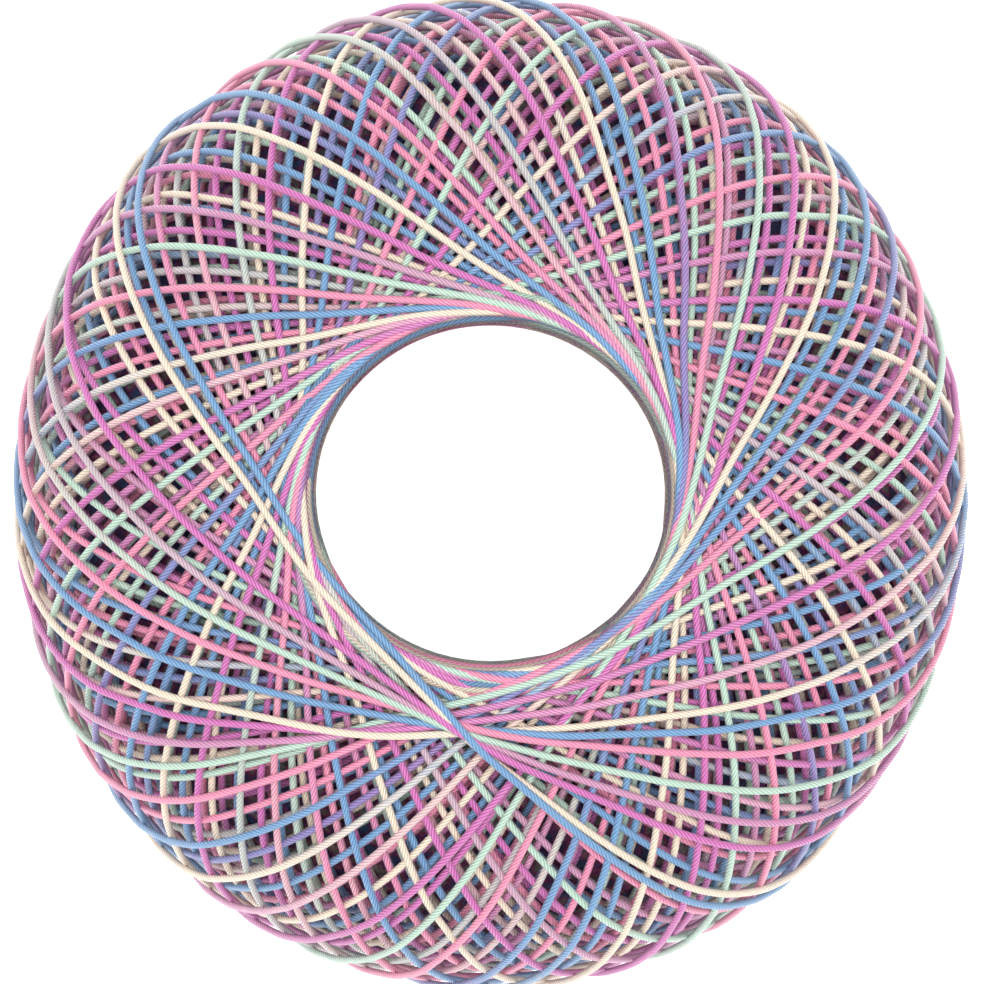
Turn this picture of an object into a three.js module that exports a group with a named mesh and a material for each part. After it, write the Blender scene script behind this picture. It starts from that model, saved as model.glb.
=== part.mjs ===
// Ball of crochet thread, precision-wound round an open bore.
// It stands on one end: the bore runs along +Z, and the origin is at the middle of the
// flat spot that it stands on. All sizes are in millimetres.
//
// Every turn of thread is a loop in a plane through the middle of the ball. It touches the
// ring round the top mouth at its foot, swings a quarter round the ball by the waist, and
// touches the ring round the bottom mouth half way round. Each new turn's foot lies a step
// further clockwise. So the half of a turn that leaves its foot counterclockwise lies on top
// on one side of the newest turn, and the other half lies on top on its other side.
import * as THREE from "three";

// Outer form
const outerRadius = 34.9; // mean radius at the waist, between crests and grooves
const ballHeight = 54.0; // from the flat spot to the top ring
const shoulderPower = 2.8; // 2 would be an ellipse, more is squarer at the shoulder
const outerOval = 0.021; // the waist is this share wider along Y and narrower along X

// Bore
const boreRadius = 12.75; // mean radius of the open middle, the same at all heights
const boreOval = 0.02; // the bore is this share wider along X and narrower along Y

// Rope-like ring of bunched turns round each mouth of the bore
const ringRound = 1.1; // radius of the ring's inner edge
const ringCrown = 1.6; // from the bore wall to the crown of the ring
const ringRows = 3; // rows of points from the bore wall to the crown

// Turns of thread
const turnsRound = 50; // turns side by side in one trip round the ball
const turnRelief = 2.2; // mean height of a turn above the groove beside it, at the waist
const turnUnevenness = 0.4; // share of that height which changes from turn to turn
const goldenStep = 0.618034; // spreads the uneven heights evenly over the turns
const newestLift = 0.5; // the newest turn stands this much higher, on top of all
const newestFoot = (220.5 * Math.PI) / 180; // where the newest turn touches the top ring

// Flat spot
const flatDepth = 0.7; // how far the foot is pressed in, which makes a flat ring round the bore

// Angles are counted in steps. A crest and the groove beside it lie two steps apart.
const steps = 4 * turnsRound;
const stepAngle = (2 * Math.PI) / steps;
const pointsRound = steps / 2;
const waistSwing = steps / 4; // a turn has swung a quarter of the way round at the waist
const firstSwing = 20; // steps that a turn swings before it stands out from the ring
const steepSwing = 32; // rows lie four steps apart up to here
const sideSwing = 42; // two steps apart up to here, and then one

const crownRadius = boreRadius + ringCrown;
const halfHeight = (ballHeight + flatDepth) / 2; // before the foot is pressed flat
const footSlope = halfHeight / crownRadius; // of a turn's plane, from the middle to its foot
const crownShare = Math.pow(1 - Math.pow(crownRadius / outerRadius, shoulderPower), 1 / shoulderPower);
const fullHeight = halfHeight / crownShare; // where the shoulder's curve would meet the axis

// The point of the shoulder's curve that a turn has reached at this swing.
function shoulderPoint(swing) {
  const lean = footSlope * Math.max(0, Math.cos(swing * stepAngle)); // height over radius
  const exponent = shoulderPower / 2;
  const angle = Math.atan2(1, Math.pow((lean * outerRadius) / fullHeight, exponent));
  const radius = outerRadius * Math.pow(Math.sin(angle), 1 / exponent);
  return { radius, height: radius * lean };
}

// How much of the turns' height shows at this swing: none at the ring, all at the waist.
function reliefAt(swing) {
  const atFirst = Math.sin(firstSwing * stepAngle);
  return (Math.sin(swing * stepAngle) - atFirst) / (1 - atFirst);
}

// Upper half of the closed profile, from the bore at mid height over the ring to the waist.
function upperProfile() {
  const rows = [];
  const addPlain = (point) => rows.push({ ...point, swing: firstSwing, relief: 0 });
  const wallTop = halfHeight - ringRound;
  addPlain({ radius: boreRadius, height: 0 });
  for (let row = 0; row < ringRows; row++) {
    const angle = (Math.PI / 2) * (row / ringRows);
    addPlain({
      radius: boreRadius + ringCrown * (1 - Math.cos(angle)),
      height: wallTop + ringRound * Math.sin(angle),
    });
  }
  addPlain(shoulderPoint(0));
  addPlain(shoulderPoint(0.6 * firstSwing));
  let swing = firstSwing;
  while (swing <= waistSwing) {
    rows.push({ ...shoulderPoint(swing), swing, relief: reliefAt(swing) });
    swing += swing < steepSwing ? 4 : swing < sideSwing ? 2 : 1;
  }
  return rows;
}

// The whole closed profile: up the bore, over the top, down the side and back under.
function closedProfile() {
  const upper = upperProfile();
  const lower = upper
    .slice(1, -1)
    .reverse()
    .map((row) => ({ ...row, height: -row.height, swing: 2 * waistSwing - row.swing }));
  return [...upper, ...lower];
}

// Outward direction of the profile at each row, from its two neighbours.
function withNormals(rows) {
  return rows.map((row, i) => {
    const before = rows[(i + rows.length - 1) % rows.length];
    const after = rows[(i + 1) % rows.length];
    const alongRadius = after.radius - before.radius;
    const alongHeight = after.height - before.height;
    const size = Math.hypot(alongRadius, alongHeight);
    return { ...row, normalRadius: -alongHeight / size, normalHeight: alongRadius / size };
  });
}

// Height above the mean surface, place steps counterclockwise from the newest turn's foot.
function liftAt(place, swing) {
  const onFirstHalf = place >= swing && place < steps - swing;
  const foot = onFirstHalf ? place - swing : (place + swing) % steps;
  const turn = Math.floor(foot / 4); // counted back from the newest
  const spread = ((turn * goldenStep) % 1) - 0.5;
  const height = turnRelief * (1 + turnUnevenness * spread);
  const crest = height / 2 + (turn === 0 ? newestLift : 0);
  return foot % 4 === 0 ? crest : -height / 2;
}

function rowPoints(row) {
  const points = [];
  const outerShare = Math.max(0, (row.radius - boreRadius) / (outerRadius - boreRadius));
  const oval = -boreOval + (outerOval + boreOval) * outerShare;
  for (let place = row.swing % 2; place < steps; place += 2) {
    const lift = liftAt(place, row.swing) * row.relief;
    const radius = row.radius + row.normalRadius * lift;
    const height = row.height + row.normalHeight * lift;
    const angle = newestFoot + place * stepAngle;
    points.push([
      radius * Math.cos(angle) * (1 - oval),
      radius * Math.sin(angle) * (1 + oval),
      Math.max(0, height + halfHeight - flatDepth),
    ]);
  }
  return points;
}

// Faces between a row and the next, whose edges run along the turns. They fan out from the
// newest turn's first half and close in on its other half.
function facesBetween(row, next, rowIndex, nextIndex) {
  const faces = [];
  const pointAt = (index, place) => index * pointsRound + Math.floor((place % steps) / 2);
  const further = Math.max(0, next.swing - row.swing);
  let here = row.swing;
  let there = steps + row.swing - further;
  const stepNext = () => {
    faces.push(pointAt(rowIndex, here), pointAt(nextIndex, there), pointAt(nextIndex, there + 2));
    there += 2;
  };
  const stepHere = () => {
    faces.push(pointAt(rowIndex, here), pointAt(nextIndex, there), pointAt(rowIndex, here + 2));
    here += 2;
  };
  for (let i = 0; i < further; i++) stepNext();
  for (let i = 0; i < pointsRound - row.swing - further; i++) {
    stepHere();
    stepNext();
  }
  for (let i = 0; i < further; i++) stepHere();
  for (let i = 0; i < row.swing; i++) {
    stepNext();
    stepHere();
  }
  return faces;
}

function woundBallGeometry() {
  const rows = withNormals(closedProfile());
  const positions = rows.flatMap((row) => rowPoints(row).flat());
  const faces = rows.flatMap((row, index) => {
    const nextIndex = (index + 1) % rows.length;
    return facesBetween(row, rows[nextIndex], index, nextIndex);
  });
  const geometry = new THREE.BufferGeometry();
  geometry.setAttribute("position", new THREE.Float32BufferAttribute(positions, 3));
  geometry.setIndex(faces);
  geometry.computeVertexNormals();
  return geometry;
}

// Mercerised cotton, dyed in short lengths of blue, cream, magenta, mint and pink.
// From a step away the colours mix to a greyed pink.
const cottonThread = new THREE.MeshStandardMaterial({
  color: 0xc9a3bd,
  roughness: 0.6,
  metalness: 0,
});

const woundBall = new THREE.Mesh(woundBallGeometry(), cottonThread);
woundBall.name = "wound_ball";

const threadBall = new THREE.Group();
threadBall.add(woundBall);

export default threadBall;
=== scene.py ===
import math
import time

import bpy
import numpy as np
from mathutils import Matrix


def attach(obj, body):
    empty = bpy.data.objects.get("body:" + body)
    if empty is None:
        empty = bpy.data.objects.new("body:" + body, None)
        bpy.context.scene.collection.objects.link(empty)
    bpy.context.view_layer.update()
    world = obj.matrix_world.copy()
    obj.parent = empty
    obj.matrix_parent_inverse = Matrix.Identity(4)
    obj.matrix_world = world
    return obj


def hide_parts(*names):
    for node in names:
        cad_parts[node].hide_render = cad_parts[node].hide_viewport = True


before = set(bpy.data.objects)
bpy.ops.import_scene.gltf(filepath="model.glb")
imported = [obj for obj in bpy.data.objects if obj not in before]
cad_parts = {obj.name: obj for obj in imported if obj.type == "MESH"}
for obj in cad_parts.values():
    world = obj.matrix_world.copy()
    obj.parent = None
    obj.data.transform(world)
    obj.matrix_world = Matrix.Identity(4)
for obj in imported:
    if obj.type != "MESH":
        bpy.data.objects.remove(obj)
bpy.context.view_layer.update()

# A ball of crochet thread, wound turn by turn round an open bore, which stands on one end.
# Every turn is a loop in a plane through the middle of the ball. It touches the ring round
# the top mouth at its foot, goes down the side on both halves, and meets the ring round the
# bottom mouth half way round. Each new turn's foot lies a few degrees further clockwise.
# Lengths are in millimetres and angles in radians, unless a note says otherwise.

millimetre = 0.001
fullTurn = 2 * math.pi
startTime = time.time()


def report(words):
    print("%5.1f s  %s" % (time.time() - startTime, words))


view = {
    "frameWidth": 72.63,  # across the picture, at the height of the waist
    "distance": 2500.0,  # a long lens from far off, which looks almost straight down the bore
    "sensor": 36.0,
    "middle": (0.11, 0.07),  # the spot on the ball where the picture's middle falls
    "waistHeight": 27.0,
    "clip": (0.05, 20.0),  # metres
}


def addCamera():
    data = bpy.data.cameras.new("overhead")
    data.sensor_width = view["sensor"]
    data.lens = view["sensor"] * (view["distance"] - view["waistHeight"]) / view["frameWidth"]
    data.clip_start, data.clip_end = view["clip"]
    camera = bpy.data.objects.new("overhead", data)
    camera.location = [length * millimetre for length in (*view["middle"], view["distance"])]
    bpy.context.scene.collection.objects.link(camera)
    bpy.context.scene.camera = camera


addCamera()

# The wound form, with the same kind of curve at the shoulder as the CAD solid
form = {
    "waist": 35.7,  # mean radius over the newest threads
    "cap": 27.7,  # where the shoulder's curve would meet the axis, above the middle
    "power": 2.8,
    "waistOval": 0.021,  # wider by this share along Y at the waist
    "boreOval": 0.02,  # wider by this share along X at the bore
    "boreRadius": 12.75,
    "middleHeight": 26.65,  # of the ball's middle over its flat spot
    "floorGap": 0.01,  # between the lowest threads and the floor
    "squeeze": 0.2,  # height over which the threads above the flat spot are pushed up
}

winding = {
    "threadWidth": 0.55,
    "turnsRound": 49.5,  # turns in one trip round the ball
    "trips": 5,  # trips wound here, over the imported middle
    "newestFoot": 220.5,  # degrees counterclockwise from +X
    "crossing": 0.46,  # height that a crossing thread adds, pressed a little into those below
    "crossingAtRing": 0.24,  # the same where the turns bunch round the mouths
    "bunchFrom": (48.0, 60.0),  # degrees of elevation between the two
    "footRadius": 13.5,  # from the axis to the middle of the innermost thread at its foot
    "lowerFootMore": 0.12,  # how much wider the bottom mouth is
    "ringWidth": 1.2,  # how much further out the outermost feet lie
    "footDistance": 30.0,  # from the ball's middle to the newest feet
    "footFollow": 0.15,  # how quickly the rings' distance follows the turns that are laid
    "slipPlaces": 8,  # across the ring, where a tightened turn may slip to
    "slipAround": 14.0,  # degrees to both sides of the foot where the ring's height counts
    "slipSamples": 9,  # places in which it is read there
    "slipHold": 0.5,  # height that a turn would rather climb than lie a millimetre further out
    "azimuthScatter": 0.3,  # degrees that a foot strays from its place
    "looseTurns": 40,  # the newest ones, which stray more than those held down below
    "looseScatter": 0.7,  # degrees
    "wander": 0.14,  # degrees that a turn strays from its plane
    "hug": (5.5, 7.5),  # degrees that a turn clings to the ring past its foot, least and most
    "hugFrom": 25.0,  # degrees past its foot over which that sets in
    "seed": 7,
    "samples": 720,  # points round one turn while it is laid
    "jointSamples": 40,  # over which a turn and the next are brought together
    "sides": 6,  # of a thread's outline
    "newestSides": 8,  # the same for the newest trips
    "newestTrips": 2,
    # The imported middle's depth is found in several windings
    "windings": 4,
    "firstDepth": 3.5,  # which the first of them starts from
    "tableBand": (46.0, 58.0),  # degrees of elevation over which the feet decide instead
    "ringCorrection": 1.4,  # how strongly the feet's distance is corrected each time
    # The two newest turns, as the picture shows them: degrees that the foot is shifted, and
    # how much further out it lies
    "newest": [(0.0, -0.67), (-4.97, 0.13)],
    "newestHug": (6.0, 1.0),  # degrees that their two halves cling to the ring past the foot
    # The next ones pass below the newest at one place, so that their feet lie further out
    "bunched": 7,  # the last of them, in turns back from the newest
    "bunchReach": 12.4,  # from the newest foot to that place
    "bunchFade": 4,  # turns over which the feet come back to the ring
}


def smoothstep(low, high, value):
    share = np.clip((value - low) / (high - low), 0, 1)
    return share * share * (3 - 2 * share)


def shellRadius(elevation):
    across = np.abs(np.cos(elevation)) / form["waist"]
    upward = np.abs(np.sin(elevation)) / form["cap"]
    return (across ** form["power"] + upward ** form["power"]) ** (-1 / form["power"])


elevationTable = np.radians(np.linspace(0, 70, 71))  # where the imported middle's depth is kept
ringElevation = math.radians(62)  # where the first feet rest on it


class HeightMap:
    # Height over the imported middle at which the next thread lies, by azimuth and elevation.
    columns = 1200
    rows = 460
    reach = math.radians(69)
    strokes = np.linspace(-0.98, 0.98, 9)  # across a thread, from edge to edge
    level = 80  # a row's height is the one that this many per cent of it stay under
    measured = math.radians(56)  # highest elevation at which the height is measured
    curveDegree = 8  # of the smooth curve through it

    def __init__(self):
        self.height = np.zeros((self.rows, self.columns))

    def cell(self, azimuth, elevation):
        column = np.floor(azimuth / fullTurn * self.columns).astype(int) % self.columns
        row = np.floor((elevation / self.reach + 1) / 2 * self.rows).astype(int)
        return np.clip(row, 0, self.rows - 1), column

    def read(self, azimuth, elevation):
        return self.height[self.cell(azimuth, elevation)]

    def lay(self, azimuth, elevation, radius, height, contact):
        # Raises the map by the thread's round back, over its width.
        eastward = np.gradient(azimuth) * np.cos(elevation)
        northward = np.gradient(elevation)
        length = np.hypot(eastward, northward)
        for share in self.strokes:
            offset = share * contact / radius / length
            rise = contact * math.sqrt(1 - share * share)
            cells = self.cell(azimuth - northward * offset / np.cos(elevation), elevation + eastward * offset)
            np.maximum.at(self.height, cells, height + rise)

    def buildUp(self):
        # How high the winding stands at each elevation of the depth table, smoothed.
        typical = np.percentile(self.height, self.level, axis=1)
        centres = ((np.arange(self.rows) + 0.5) / self.rows * 2 - 1) * self.reach
        inside = np.abs(centres) < self.measured
        typical = (typical + typical[::-1]) / 2
        curve = np.polynomial.Polynomial.fit(centres[inside], typical[inside], self.curveDegree)
        return curve(np.clip(elevationTable, 0, self.measured))


def tautRadius(angle, radius):
    # The radius of a thread pulled tight over these points, which go once round the middle.
    # It goes on for an eighth of a turn at both ends, so that the ends are tight as well.
    more = len(angle) // 8
    angle = np.concatenate([angle[-more:] - fullTurn, angle, angle[:more] + fullTurn])
    radius = np.concatenate([radius[-more:], radius, radius[:more]])
    x, y = radius * np.cos(angle), radius * np.sin(angle)
    held = []
    for i in range(len(angle)):
        while len(held) > 1:
            a, b = held[-2], held[-1]
            if (x[b] - x[a]) * (y[i] - y[a]) - (y[b] - y[a]) * (x[i] - x[a]) > 0:
                break
            held.pop()
        held.append(i)
    held = np.array(held)
    after = np.clip(np.searchsorted(held, np.arange(len(angle)), side="right"), 1, len(held) - 1)
    a, b = held[after - 1], held[after]
    spread = radius[a] * np.sin(angle - angle[a]) + radius[b] * np.sin(angle[b] - angle)
    return (radius[a] * radius[b] * np.sin(angle[b] - angle[a]) / spread)[more:-more]


def betweenFeet(swing, bottomBefore, top, bottomAfter):
    # Eases a value from one bottom foot over the top foot to the next bottom foot.
    towards = np.where(swing < 0, bottomBefore, bottomAfter)
    share = smoothstep(0, math.pi, np.abs(swing))
    return top + (towards - top) * share


def lowestFoot(heightMap, azimuth, footDistance, side, extra):
    # A tightened turn slips to where the ring is lowest: how far out that is.
    radii = winding["footRadius"] + extra + np.linspace(0, winding["ringWidth"], winding["slipPlaces"])
    reach = winding["slipAround"]
    around = azimuth + np.radians(np.linspace(-reach, reach, winding["slipSamples"]))
    elevations = side * np.arccos(radii / footDistance)
    heights = heightMap.read(around[None, :], elevations[:, None]).mean(axis=1)
    return radii[np.argmin(heights + winding["slipHold"] * (radii - radii[0]))]


def layTurns(depthTable):
    # Lays the turns one by one, oldest first, and gives their paths and, from the height map, a new depth
    # table for the imported middle.
    rng = np.random.default_rng(winding["seed"])
    heightMap = HeightMap()
    samples = winding["samples"]
    swing = (np.arange(samples) + 0.5) / samples * fullTurn - math.pi
    turnAngle = fullTurn / winding["turnsRound"]
    count = int(winding["turnsRound"] * winding["trips"])
    packedRing = shellRadius(ringElevation) - np.interp(ringElevation, elevationTable, depthTable)
    topDistance = bottomDistance = packedRing  # from the ball's middle to the rings
    footShifts = rng.normal(size=2 * count + 2) * math.radians(winding["azimuthScatter"])
    footShifts[-2 * winding["looseTurns"]:] *= winding["looseScatter"] / winding["azimuthScatter"]
    hugFrom = math.radians(winding["hugFrom"])
    clinging = (1 - np.abs(swing) / (math.pi / 2)) * smoothstep(0, hugFrom, np.abs(swing))
    clinging *= smoothstep(0, hugFrom, math.pi - np.abs(swing)) * np.sign(swing)
    bottomLean = winding["footRadius"] / bottomDistance
    turns = []
    for number in range(count):
        back = count - 1 - number  # turns back from the newest
        newestFoot = math.radians(winding["newestFoot"]) + turnAngle * back
        hug = np.radians(rng.uniform(*winding["hug"], size=2))
        topRadius = lowestFoot(heightMap, newestFoot, topDistance, 1, 0)
        nextBottom = lowestFoot(heightMap, newestFoot + math.pi, bottomDistance, -1, winding["lowerFootMore"])
        wander = math.radians(winding["wander"])
        if back < len(winding["newest"]):
            shift, further = winding["newest"][back]
            footShifts[2 * number + 1] = math.radians(shift)
            topRadius = winding["footRadius"] + further
            hug = np.radians(winding["newestHug"])
            wander = 0
        elif back < winding["bunched"] + winding["bunchFade"]:
            apart = turnAngle * back
            newestRadius = winding["footRadius"] + winding["newest"][0][1]
            bunchRadius = newestRadius * math.cos(apart) + winding["bunchReach"] * math.sin(apart)
            fade = smoothstep(0, winding["bunchFade"], back - winding["bunched"])
            topRadius = bunchRadius + (topRadius - bunchRadius) * fade
            hug = hug * fade
        around = newestFoot - turnAngle * swing / fullTurn
        around += betweenFeet(swing, *footShifts[2 * number:2 * number + 3])
        around += clinging * np.where(swing < 0, *hug)
        calm = np.cos(swing / 2) ** 2
        for waves in (1, 2, 3, 5):
            size = wander * rng.normal() / waves
            around += size * calm * np.sin(waves * swing + rng.uniform(0, fullTurn))
        topHere, bottomHere = topDistance, bottomDistance
        for attempt in range(2):  # the second time with the feet's own heights
            lean = betweenFeet(swing, bottomLean, topRadius / topHere, nextBottom / bottomHere)
            slope = np.arccos(lean)
            azimuth = around + np.arctan2(np.sin(swing), np.cos(swing) * np.cos(slope))
            elevation = np.arcsin(np.cos(swing) * np.sin(slope))
            packed = shellRadius(elevation) - np.interp(np.abs(elevation), elevationTable, depthTable)
            radius = tautRadius(swing, packed + heightMap.read(azimuth, elevation))
            topHere, bottomHere = radius[samples // 2], radius[-1]
        bottomLean = lean[-1]
        nearRing = smoothstep(*np.radians(winding["bunchFrom"]), np.abs(elevation))
        contact = winding["crossing"] + (winding["crossingAtRing"] - winding["crossing"]) * nearRing
        heightMap.lay(azimuth, elevation, radius, radius - packed, contact)
        topDistance += winding["footFollow"] * (radius[samples // 2] - topDistance)
        bottomDistance += winding["footFollow"] * (radius[-1] - bottomDistance)
        turns.append([azimuth, elevation, radius])
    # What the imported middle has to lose, so that the winding ends at the ball's real size
    tooFar = (topDistance + bottomDistance) / 2 - winding["footDistance"]
    nearRing = smoothstep(*np.radians(winding["tableBand"]), elevationTable)
    atRing = depthTable + winding["ringCorrection"] * tooFar
    betterTable = heightMap.buildUp() * (1 - nearRing) + atRing * nearRing
    report("feet at %.2f and %.2f, waist at %.2f, packed middle %.1f to %.1f down" % (
        topDistance, bottomDistance, radius[samples // 4], betterTable[0], betterTable[-1]))
    return turns, betterTable


def easeJoints(turns):
    # A turn starts where the one before ends: their radii are brought together there.
    samples = winding["jointSamples"]
    fade = smoothstep(0, 1, np.linspace(1, 0, samples))
    for before, after in zip(turns, turns[1:]):
        gap = after[2][0] - before[2][-1]
        before[2][-samples:] += gap / 2 * fade[::-1]
        after[2][:samples] -= gap / 2 * fade


def standing(azimuth, flat, height):
    # From the true round form to the ball as it stands: oval, and pressed flat on the floor.
    outer = np.clip((flat - form["boreRadius"]) / (form["waist"] - form["boreRadius"]), 0, 1)
    oval = -form["boreOval"] + (form["waistOval"] + form["boreOval"]) * outer
    height = height + form["middleHeight"]
    floor = winding["threadWidth"] / 2 + form["floorGap"]
    squeeze = form["squeeze"]
    height = floor + squeeze * np.log1p(np.exp((height - floor) / squeeze))
    east = flat * np.cos(azimuth) * (1 - oval)
    north = flat * np.sin(azimuth) * (1 + oval)
    return np.stack([east, north, height], axis=1)


def toPoints(azimuth, elevation, radius):
    return standing(azimuth, radius * np.cos(elevation), radius * np.sin(elevation))


def lengthAlong(path):
    # Length of thread from the first point of a path to each of its points.
    steps = np.linalg.norm(np.diff(path, axis=0), axis=1)
    return np.concatenate([[0], np.cumsum(steps)])


# The first windings only show how high the thread builds up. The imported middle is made
# lower by that much, and the last winding reaches the ball's real size.
depthTable = np.full(len(elevationTable), winding["firstDepth"])
for attempt in range(winding["windings"]):
    turns, betterTable = layTurns(depthTable)
    if attempt < winding["windings"] - 1:
        depthTable = betterTable
easeJoints(turns)
report("%d turns laid" % len(turns))

# A thread bends gently, over a few times its own width
softenReach = 12  # samples
softenSpread = 4
soften = np.exp(-0.5 * (np.arange(-softenReach, softenReach + 1) / softenSpread) ** 2)
soften /= soften.sum()
for turn in turns:
    turn[2][softenReach:-softenReach] = np.convolve(turn[2], soften, "valid")

# Every fifth point stays in the mesh, and every third near the mouths, where a turn bends most
number = np.arange(winding["samples"])
fromWaist = np.abs(number % (winding["samples"] // 2) - winding["samples"] // 4)
nearMouth = 125  # samples from the waist
kept = number[np.where(fromWaist > nearMouth, number % 3 == 0, number % 5 == 0)]
pathPoints = np.concatenate([toPoints(*(part[kept] for part in turn)) for turn in turns])
along = lengthAlong(pathPoints)
along = along[-1] - along  # length of thread from here to the newest end
pointsPerTurn = len(kept)
newestTurnLength = along[-1 - pointsPerTurn]
report("newest turn is %.0f long, the whole %.1f m" % (newestTurnLength, along[0] / 1000))


class Value:
    # A shader value: sums and products of it add the Math nodes that work them out.
    def __init__(self, finish, socket):
        self.finish = finish
        self.socket = socket

    def __add__(self, other):
        return self.finish.math("ADD", self, other)

    def __radd__(self, other):
        return self.finish.math("ADD", other, self)

    def __sub__(self, other):
        return self.finish.math("SUBTRACT", self, other)

    def __rsub__(self, other):
        return self.finish.math("SUBTRACT", other, self)

    def __mul__(self, other):
        return self.finish.math("MULTIPLY", self, other)

    def __rmul__(self, other):
        return self.finish.math("MULTIPLY", other, self)


class Finish:
    def __init__(self, name):
        self.material = bpy.data.materials.new(name)
        self.material.use_nodes = True
        self.tree = self.material.node_tree
        self.shader = self.tree.nodes["Principled BSDF"]

    def feed(self, socket, value):
        if isinstance(value, Value):
            self.tree.links.new(value.socket, socket)
        else:
            socket.default_value = value

    def node(self, kind, settings, inputs, output=0):
        made = self.tree.nodes.new(kind)
        for name, value in settings.items():
            if name == "stops":
                ramp = made.color_ramp
                for place, colour in value[2:]:
                    ramp.elements.new(place)
                for element, (place, colour) in zip(ramp.elements, sorted(value)):
                    element.position = place
                    element.color = colour
            else:
                setattr(made, name, value)
        for key, value in inputs.items():
            self.feed(made.inputs[key], value)
        return Value(self, made.outputs[output])

    def math(self, operation, *values):
        return self.node("ShaderNodeMath", {"operation": operation}, dict(enumerate(values)))

    def attribute(self, name, output="Fac"):
        return self.node("ShaderNodeAttribute", {"attribute_name": name}, {}, output)

    def mix(self, share, first, second, blend="MIX"):
        settings = {"data_type": "RGBA", "blend_type": blend}
        return self.node("ShaderNodeMix", settings, {0: share, 6: first, 7: second}, 2)

    def set(self, **inputs):
        for name, value in inputs.items():
            self.feed(self.shader.inputs[name.replace("_", " ")], value)


def linear(red, green, blue):
    # From the usual 0 to 255 scale to the shader's linear colour.
    parts = [part / 255 for part in (red, green, blue)]
    return tuple(((part + 0.055) / 1.055) ** 2.4 for part in parts) + (1,)


blue = linear(84, 142, 192)
cream = linear(234, 214, 190)
magenta = linear(198, 80, 168)
mint = linear(176, 208, 188)
pink = linear(234, 126, 164)
violet = linear(122, 96, 172)
mauve = linear(196, 132, 168)
white = (1, 1, 1, 1)

threadLook = {
    "plies": 6,
    "plyPitch": 2.6,  # length in which a ply goes once round the thread
    "dyeTurns": 6.19,  # newest turns of thread in one round of the dyes
    # Turns back from the newest end, within one round of the dyes
    "dyes": [
        (0.0, violet), (0.12, blue), (1.0, blue), (1.15, cream), (2.0, cream), (2.3, magenta), (3.1, magenta),
        (3.45, mauve), (3.85, mint), (4.55, mint), (4.8, pink), (5.7, pink), (5.92, violet), (6.14, blue),
    ],
    "dyeBlend": 30.0,  # how far the fibres of one dye run in among the next
    "arcStart": 2000.0,  # the older arcs start somewhere in this length of thread
    "fibreStretch": 0.12,  # how little the pattern of the fibres changes along the thread
    "fibreScale": 4.5,
    "fibreDetail": 2.0,
    "fibreShade": 0.5,  # between the darkest fibres and the lightest
    "groove": 0.4,  # painted shade: how dark it is between the plies, 0 to 1
    "paintedHighlight": 0.12,  # painted highlight: how far the backs of the plies go towards white
    "plyRelief": 0.8,
    "fibreRelief": 0.2,
    "reliefStrength": 0.8,
    "reliefHeight": 0.07,
    "roughness": 0.45,
    "grooveRoughness": 0.2,  # how much rougher it is between the plies
    "sheen": 0.25,
    "sheenRoughness": 0.4,
    "paintedShadeInRing": 0.68,  # painted shade: how light the threads pressed into the ring and the bore are made, for the shade between them
}


def threadFinish(name, light):
    # light is the share of the colour that painted shade leaves, 1 where there is none
    finish = Finish(name)
    look = threadLook
    along = finish.attribute("alongThread")
    around = finish.node("ShaderNodeSeparateXYZ", {}, {0: finish.attribute("aroundThread", "Vector")})
    separate = around.socket.node
    angle = finish.math("ARCTAN2", Value(finish, separate.outputs[1]), Value(finish, separate.outputs[0]))
    turned = angle + along * (fullTurn / look["plyPitch"])
    ply = finish.math("ABSOLUTE", finish.math("SINE", turned * (look["plies"] / 2)))
    fibrePlace = finish.node("ShaderNodeCombineXYZ", {}, {
        0: finish.math("COSINE", turned), 1: finish.math("SINE", turned), 2: along * look["fibreStretch"]})
    fibre = finish.node("ShaderNodeTexNoise", {}, {
        "Vector": fibrePlace, "Scale": look["fibreScale"], "Detail": look["fibreDetail"]}, "Fac")
    cycle = look["dyeTurns"] * newestTurnLength
    place = finish.math("FRACT", (along + (fibre - 0.5) * (2 * look["dyeBlend"])) * (1 / cycle) + 1.0)
    stops = [(turn / look["dyeTurns"], colour) for turn, colour in look["dyes"]]
    dye = finish.node("ShaderNodeValToRGB", {"stops": stops}, {0: place}, "Color")
    # Painted shade: darker between the plies, and all over for the threads pressed into the ring and the
    # bore; the fibres also differ in tone at random.
    depth = (1 - (1 - ply) * look["groove"] - (fibre - 0.5) * look["fibreShade"]) * light
    shade = finish.node("ShaderNodeCombineXYZ", {}, {0: depth, 1: depth, 2: depth})
    # Painted highlight: the backs of the plies are mixed towards white.
    back = ply * fibre * (look["paintedHighlight"] * 2 * light)
    colour = finish.mix(back, finish.mix(1.0, dye, shade, "MULTIPLY"), white)
    relief = ply * look["plyRelief"] + fibre * look["fibreRelief"]
    bump = finish.node("ShaderNodeBump", {}, {
        "Height": relief, "Strength": look["reliefStrength"],
        "Distance": look["reliefHeight"] * millimetre}, "Normal")
    roughness = look["roughness"] + (1 - ply) * look["grooveRoughness"]
    finish.set(Base_Color=colour, Normal=bump, Roughness=roughness)
    finish.set(Sheen_Weight=look["sheen"], Sheen_Roughness=look["sheenRoughness"])
    return finish.material


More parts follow.
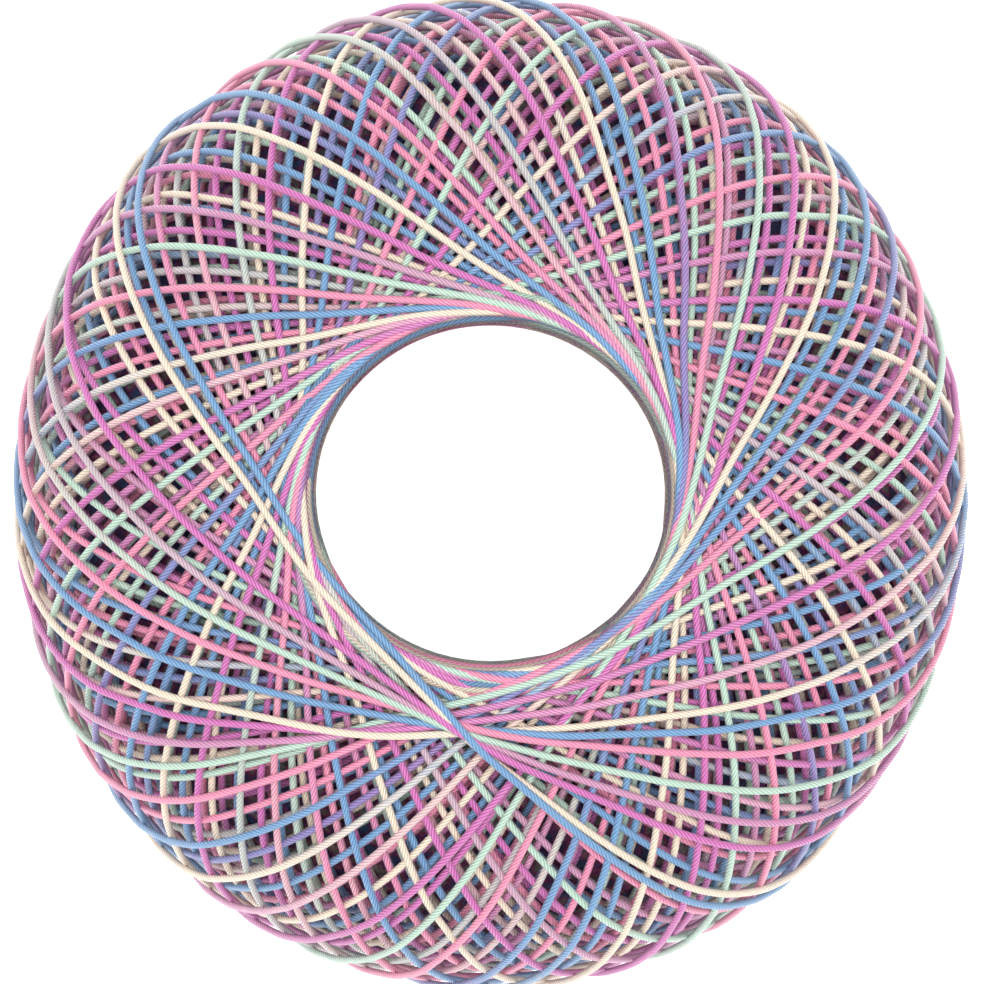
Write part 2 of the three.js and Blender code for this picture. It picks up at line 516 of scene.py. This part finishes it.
def threadTree(name, sides):
    # A round thread along every line of the mesh that it is given.
    tree = bpy.data.node_groups.new(name, "GeometryNodeTree")
    tree.interface.new_socket("Geometry", in_out="INPUT", socket_type="NodeSocketGeometry")
    tree.interface.new_socket("Thread Width", in_out="INPUT", socket_type="NodeSocketFloat")
    tree.interface.new_socket("Finish", in_out="INPUT", socket_type="NodeSocketMaterial")
    tree.interface.new_socket("Geometry", in_out="OUTPUT", socket_type="NodeSocketGeometry")

    def node(kind, settings=None, inputs=None):
        made = tree.nodes.new(kind)
        for key, value in (settings or {}).items():
            setattr(made, key, value)
        for key, value in (inputs or {}).items():
            if isinstance(value, bpy.types.NodeSocket):
                tree.links.new(value, made.inputs[key])
            else:
                made.inputs[key].default_value = value
        return made.outputs[0] if made.outputs else None

    given = tree.nodes.new("NodeGroupInput")
    radius = node("ShaderNodeMath", {"operation": "MULTIPLY"}, {0: given.outputs["Thread Width"], 1: 0.5})
    circle = node("GeometryNodeCurvePrimitiveCircle", {}, {"Resolution": sides, "Radius": radius})
    outward = node("ShaderNodeVectorMath", {"operation": "NORMALIZE"}, {0: node("GeometryNodeInputPosition")})
    circle = node("GeometryNodeStoreNamedAttribute", {"data_type": "FLOAT_VECTOR", "domain": "POINT"}, {
        "Geometry": circle, "Name": "aroundThread", "Value": outward})
    circle = node("GeometryNodeStoreNamedAttribute", {"data_type": "INT", "domain": "POINT"}, {
        "Geometry": circle, "Name": "sideNumber", "Value": node("GeometryNodeInputIndex")})
    line = node("GeometryNodeMeshToCurve", {}, {"Mesh": given.outputs["Geometry"]})
    tube = node("GeometryNodeCurveToMesh", {}, {"Curve": line, "Profile Curve": circle, "Fill Caps": True})
    tube = node("GeometryNodeSetShadeSmooth", {}, {"Geometry": tube})
    tube = node("GeometryNodeRealizeInstances", {}, {"Geometry": tube})
    tube = node("GeometryNodeSetMaterial", {}, {"Geometry": tube, "Material": given.outputs["Finish"]})
    node("NodeGroupOutput", {}, {0: tube})
    return tree


def addBakeMap(mesh, sides, pointsPerStrip, columns):
    # One strip of the map for each turn or arc, so that the bake keeps the plies sharp.
    corners = len(mesh.loops)
    vertex = np.zeros(corners, dtype=np.int32)
    mesh.loops.foreach_get("vertex_index", vertex)
    side = np.zeros(len(mesh.vertices), dtype=np.int32)
    place = np.zeros(len(mesh.vertices), dtype=np.int32)
    mesh.attributes["sideNumber"].data.foreach_get("value", side)
    mesh.attributes["placeNumber"].data.foreach_get("value", place)
    starts = np.zeros(len(mesh.polygons), dtype=np.int32)
    mesh.polygons.foreach_get("loop_start", starts)
    face = np.repeat(np.arange(len(starts)), np.diff(np.append(starts, corners)))
    cornerSide, cornerPlace = side[vertex], place[vertex]
    lastSide = np.maximum.reduceat(cornerSide, starts)
    firstPlace = np.minimum.reduceat(cornerPlace, starts)
    firstSide = np.minimum.reduceat(cornerSide, starts)
    wraps = (lastSide == sides - 1) & (firstSide == 0)
    cornerSide = np.where(wraps[face] & (cornerSide == 0), sides, cornerSide)
    strip = firstPlace[face] // pointsPerStrip
    rows = strip.max() // columns + 1
    endMargin = 0.01  # shares of a strip that stay free round it
    sideMargin = 0.08
    lengthwise = (1 - 2 * endMargin) * (cornerPlace - strip * pointsPerStrip) / pointsPerStrip
    across = (strip % columns + endMargin + lengthwise) / columns
    upward = (strip // columns + sideMargin + (1 - 2 * sideMargin) * cornerSide / sides) / rows
    layer = mesh.uv_layers.new(name="OFBake")
    layer.data.foreach_set("uv", np.stack([across, upward], axis=1).astype(np.float32).ravel())
    for name in ("sideNumber", "placeNumber"):
        mesh.attributes.remove(mesh.attributes[name])


def threadPiece(name, paths, lengths, sides, finish, pointsPerStrip, columns=1):
    # The paths are arrays of points, one for each length of thread.
    mesh = bpy.data.meshes.new(name + "Path")
    starts = np.cumsum([0] + [len(path) for path in paths])
    edges = np.concatenate([np.arange(a, b - 1) for a, b in zip(starts, starts[1:])])
    points = np.concatenate(paths) * millimetre
    mesh.from_pydata(points.tolist(), np.stack([edges, edges + 1], axis=1).tolist(), [])
    attribute = mesh.attributes.new("alongThread", "FLOAT", "POINT")
    attribute.data.foreach_set("value", np.concatenate(lengths).astype(np.float32))
    attribute = mesh.attributes.new("placeNumber", "INT", "POINT")
    attribute.data.foreach_set("value", np.arange(len(points), dtype=np.int32))
    path = bpy.data.objects.new(name + "Path", mesh)
    bpy.context.scene.collection.objects.link(path)
    modifier = path.modifiers.new("thread", "NODES")
    modifier.node_group = threadTrees[sides]
    sockets = {item.name: item.identifier for item in modifier.node_group.interface.items_tree
               if item.in_out == "INPUT"}
    modifier[sockets["Thread Width"]] = winding["threadWidth"] * millimetre
    modifier[sockets["Finish"]] = finish
    made = bpy.data.meshes.new_from_object(path.evaluated_get(bpy.context.evaluated_depsgraph_get()))
    bpy.data.objects.remove(path)
    made.name = name
    addBakeMap(made, sides, pointsPerStrip, columns)
    piece = bpy.data.objects.new(name, made)
    bpy.context.scene.collection.objects.link(piece)
    report("%s has %d faces" % (name, len(made.polygons)))
    return piece


def woundOn(piece):
    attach(piece, "root")
    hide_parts("wound_ball")


threadTrees = {sides: threadTree("thread%d" % sides, sides)
               for sides in (winding["sides"], winding["newestSides"])}
dyedThread = threadFinish("dyedThread", 1.0)
# The threads pressed into the ring and the bore get the same dyes, darkened as painted shade.
paintedShadeThread = threadFinish("paintedShadeThread", threadLook["paintedShadeInRing"])
turnsPerPiece = math.ceil(len(turns) / winding["trips"])
for number in range(winding["trips"]):
    last = len(pathPoints) - number * turnsPerPiece * pointsPerTurn
    first = max(0, last - turnsPerPiece * pointsPerTurn - 1)
    sides = winding["newestSides"] if number < winding["newestTrips"] else winding["sides"]
    woundOn(threadPiece("winding_%d" % (number + 1), [pathPoints[first:last]], [along[first:last]], sides,
                        dyedThread, pointsPerTurn))

boreWinding = {
    "radius": 13.12,  # from the axis to the middle of the innermost threads
    "looseness": 0.25,  # how much further out some of them lie
    "levels": 98,
    "arcHeight": 4.2,  # sets how long the arcs are, the shorter the further from the middle
    "arcLevel": 4.5,  # from the middle, below which they get no longer
    "arcsRound": 10,  # in a level whose arcs reach to both sides by the next number
    "arcsReach": 20.0,  # degrees
    "fewestArcs": 4,
    "aroundScatter": 0.08,  # radians that a foot strays round the bore
    "heightScatter": 0.12,
    "reach": 24.6,  # highest and lowest foot, from the middle
    "points": 13,  # along one arc
    "stripColumns": 10,  # in the map for the bake
    "seed": 11,
}


def boreArcs():
    # The older turns touch the bore at their feet, one level above the other. Only the arc
    # near its foot shows of each, before the next turns hide it.
    rng = np.random.default_rng(boreWinding["seed"])
    arcs, lengths = [], []
    levels = np.linspace(-boreWinding["reach"], boreWinding["reach"], boreWinding["levels"])
    for level in levels:
        half = math.asin(min(1, boreWinding["arcHeight"] / max(abs(level), boreWinding["arcLevel"])))
        even = boreWinding["arcsRound"] * math.radians(boreWinding["arcsReach"]) / half
        count = max(boreWinding["fewestArcs"], round(even))
        start = rng.uniform(0, fullTurn)
        for number in range(count):
            foot = start + number * fullTurn / count + rng.normal() * boreWinding["aroundScatter"]
            footHeight = level + rng.normal() * boreWinding["heightScatter"]
            flat = boreWinding["radius"] + boreWinding["looseness"] * rng.random()
            distance = math.hypot(flat, footHeight)
            swing = np.linspace(-half, half, boreWinding["points"])
            across = np.cos(swing) * flat
            azimuth = foot + np.arctan2(np.sin(swing) * distance, across)
            radius = np.hypot(across, np.sin(swing) * distance)
            path = standing(azimuth, radius, footHeight * np.cos(swing))
            arcs.append(path)
            lengths.append(rng.uniform(0, threadLook["arcStart"]) + lengthAlong(path))
    return arcs, lengths


woundOn(threadPiece("bore_winding", *boreArcs(), winding["sides"], paintedShadeThread, boreWinding["points"],
                    boreWinding["stripColumns"]))

mouthWinding = {
    "arcs": 84,  # round each mouth
    "radius": 13.0,  # from the axis to the innermost
    "width": 1.9,
    "edge": 1.3,  # how much lower the innermost lie than the outermost
    "hold": (14.0, 40.0),  # degrees that an arc follows the ring to both sides
    "leave": 36.0,  # degrees after which it has gone off under newer turns
    "sunk": (0.3, 1.1),  # below the newest turns
    "endSunk": 3.2,  # how much deeper its ends lie
    "points": 30,  # along one arc
    "stripColumns": 8,  # in the map for the bake
    "seed": 5,
}


def mouthArcs():
    # Turns that were pulled in to the ring and run along it, before they leave it straight.
    rng = np.random.default_rng(mouthWinding["seed"])
    arcs, lengths = [], []
    for side in (1, -1):
        for number in range(mouthWinding["arcs"]):
            share = rng.random()
            foot = (number + rng.random()) * fullTurn / mouthWinding["arcs"]
            hold = math.radians(rng.uniform(*mouthWinding["hold"]))
            span = hold + math.radians(mouthWinding["leave"])
            around = np.linspace(-span, span, mouthWinding["points"])
            flat = mouthWinding["radius"] + mouthWinding["width"] * share
            flat = flat / np.cos(np.maximum(0, np.abs(around) - hold))
            sunk = rng.uniform(*mouthWinding["sunk"]) + mouthWinding["edge"] * (1 - share) ** 2
            sunk = sunk + mouthWinding["endSunk"] * smoothstep(hold, span, np.abs(around))
            height = form["cap"] * (1 - (flat / form["waist"]) ** form["power"]) ** (1 / form["power"])
            path = standing(foot + around, flat, side * (height - sunk))
            arcs.append(path)
            lengths.append(rng.uniform(0, threadLook["arcStart"]) + lengthAlong(path))
    return arcs, lengths


woundOn(threadPiece("mouth_winding", *mouthArcs(), winding["sides"], paintedShadeThread, mouthWinding["points"],
                    mouthWinding["stripColumns"]))

packedMiddle = {
    "under": 0.25,  # below the lowest threads laid here
    "boreRadius": 13.7,
    "wallGap": 0.4,  # at least this much from there to the outside
    "reach": 62.0,  # degrees of elevation
    "columns": 240,
    "rows": 70,
    "wallRows": 24,
}


def packedShape():
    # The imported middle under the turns: one closed ring, from the bore round to the outside.
    reach = packedMiddle["reach"]
    elevation = np.radians(np.linspace(-reach, reach, packedMiddle["rows"]))
    depth = np.interp(np.abs(elevation), elevationTable, depthTable)
    radius = shellRadius(elevation) - depth - packedMiddle["under"]
    flat = np.maximum(radius * np.cos(elevation), packedMiddle["boreRadius"] + packedMiddle["wallGap"])
    height = radius * np.sin(elevation)
    wall = np.linspace(height[-1], height[0], packedMiddle["wallRows"])
    flat = np.concatenate([flat, np.full(len(wall), packedMiddle["boreRadius"])])
    height = np.concatenate([height, wall])
    columns, rows = packedMiddle["columns"], len(flat)
    azimuth = np.arange(columns) / columns * fullTurn
    points = standing(np.repeat(azimuth, rows), np.tile(flat, columns), np.tile(height, columns))
    column, row = np.divmod(np.arange(columns * rows), rows)
    nextColumn = (column + 1) % columns * rows
    nextRow = (row + 1) % rows
    corners = [column * rows + row, nextColumn + row, nextColumn + nextRow, column * rows + nextRow]
    faces = np.stack(corners, axis=1)
    mesh = bpy.data.meshes.new("packed_middle")
    mesh.from_pydata((points * millimetre).tolist(), [], faces.tolist())
    mesh.polygons.foreach_set("use_smooth", np.ones(len(faces), dtype=bool))
    mesh.materials.append(paintedShadePackedThread)
    piece = bpy.data.objects.new("packed_middle", mesh)
    bpy.context.scene.collection.objects.link(piece)
    return piece


packedLook = {
    "patchScale": 900.0,  # of the patches of one dye
    "patchDetail": 1.0,
    "dyes": [(0.3, blue), (0.42, violet), (0.5, magenta), (0.56, pink), (0.64, mint), (0.72, cream)],
    "threadScale": 2600.0,
    "threadDetail": 2.0,
    "light": (0.5, 0.42, 0.5),  # painted shade: share of the red, the green and the blue that get back out
    "reliefStrength": 0.8,
    "reliefHeight": 0.3,
    "roughness": 0.75,
}


def packedFinish():
    # Older turns lie close together down there, and little light gets to them: their dyes are darkened here
    # as painted shade.
    finish = Finish("paintedShadePackedThread")
    look = packedLook
    place = finish.node("ShaderNodeTexCoord", {}, {}, "Object")
    patch = finish.node("ShaderNodeTexNoise", {}, {
        "Vector": place, "Scale": look["patchScale"], "Detail": look["patchDetail"]}, "Fac")
    dye = finish.node("ShaderNodeValToRGB", {"stops": look["dyes"]}, {0: patch}, "Color")
    threads = finish.node("ShaderNodeTexNoise", {}, {
        "Vector": place, "Scale": look["threadScale"], "Detail": look["threadDetail"]}, "Fac")
    lit = {channel: threads * light for channel, light in enumerate(look["light"])}
    paintedShade = finish.node("ShaderNodeCombineXYZ", {}, lit)
    bump = finish.node("ShaderNodeBump", {}, {
        "Height": threads, "Strength": look["reliefStrength"],
        "Distance": look["reliefHeight"] * millimetre}, "Normal")
    colour = finish.mix(1.0, dye, paintedShade, "MULTIPLY")
    finish.set(Base_Color=colour, Normal=bump, Roughness=look["roughness"])
    return finish.material


paintedShadePackedThread = packedFinish()
woundOn(packedShape())

studio = {
    "lampStrength": 2.95,
    "lampSpread": 60.0,  # degrees
    "surround": 0.7,
    "floor": (0.93, 0.93, 0.93, 1),
    "floorGlow": 0.85,  # the table is lit from below a little, as for a cut-out picture
    "floorSide": 3.0,  # metres
    "floorRoughness": 0.8,
}


def addStudio():
    lamp = bpy.data.lights.new("overheadLamp", "SUN")
    lamp.energy = studio["lampStrength"]
    lamp.angle = math.radians(studio["lampSpread"])
    bpy.context.scene.collection.objects.link(bpy.data.objects.new("overheadLamp", lamp))
    world = bpy.data.worlds.new("surround")
    world.use_nodes = True
    world.node_tree.nodes["Background"].inputs["Color"].default_value = white
    world.node_tree.nodes["Background"].inputs["Strength"].default_value = studio["surround"]
    bpy.context.scene.world = world
    half = studio["floorSide"] / 2
    mesh = bpy.data.meshes.new("floor")
    corners = [(-half, -half, 0), (half, -half, 0), (half, half, 0), (-half, half, 0)]
    mesh.from_pydata(corners, [], [(0, 1, 2, 3)])
    floor = bpy.data.objects.new("floor", mesh)
    finish = Finish("paleFloor")
    finish.set(Base_Color=studio["floor"], Roughness=studio["floorRoughness"])
    finish.set(Emission_Color=white, Emission_Strength=studio["floorGlow"])
    mesh.materials.append(finish.material)
    bpy.context.scene.collection.objects.link(floor)
    bpy.context.scene.view_settings.view_transform = "Standard"


addStudio()
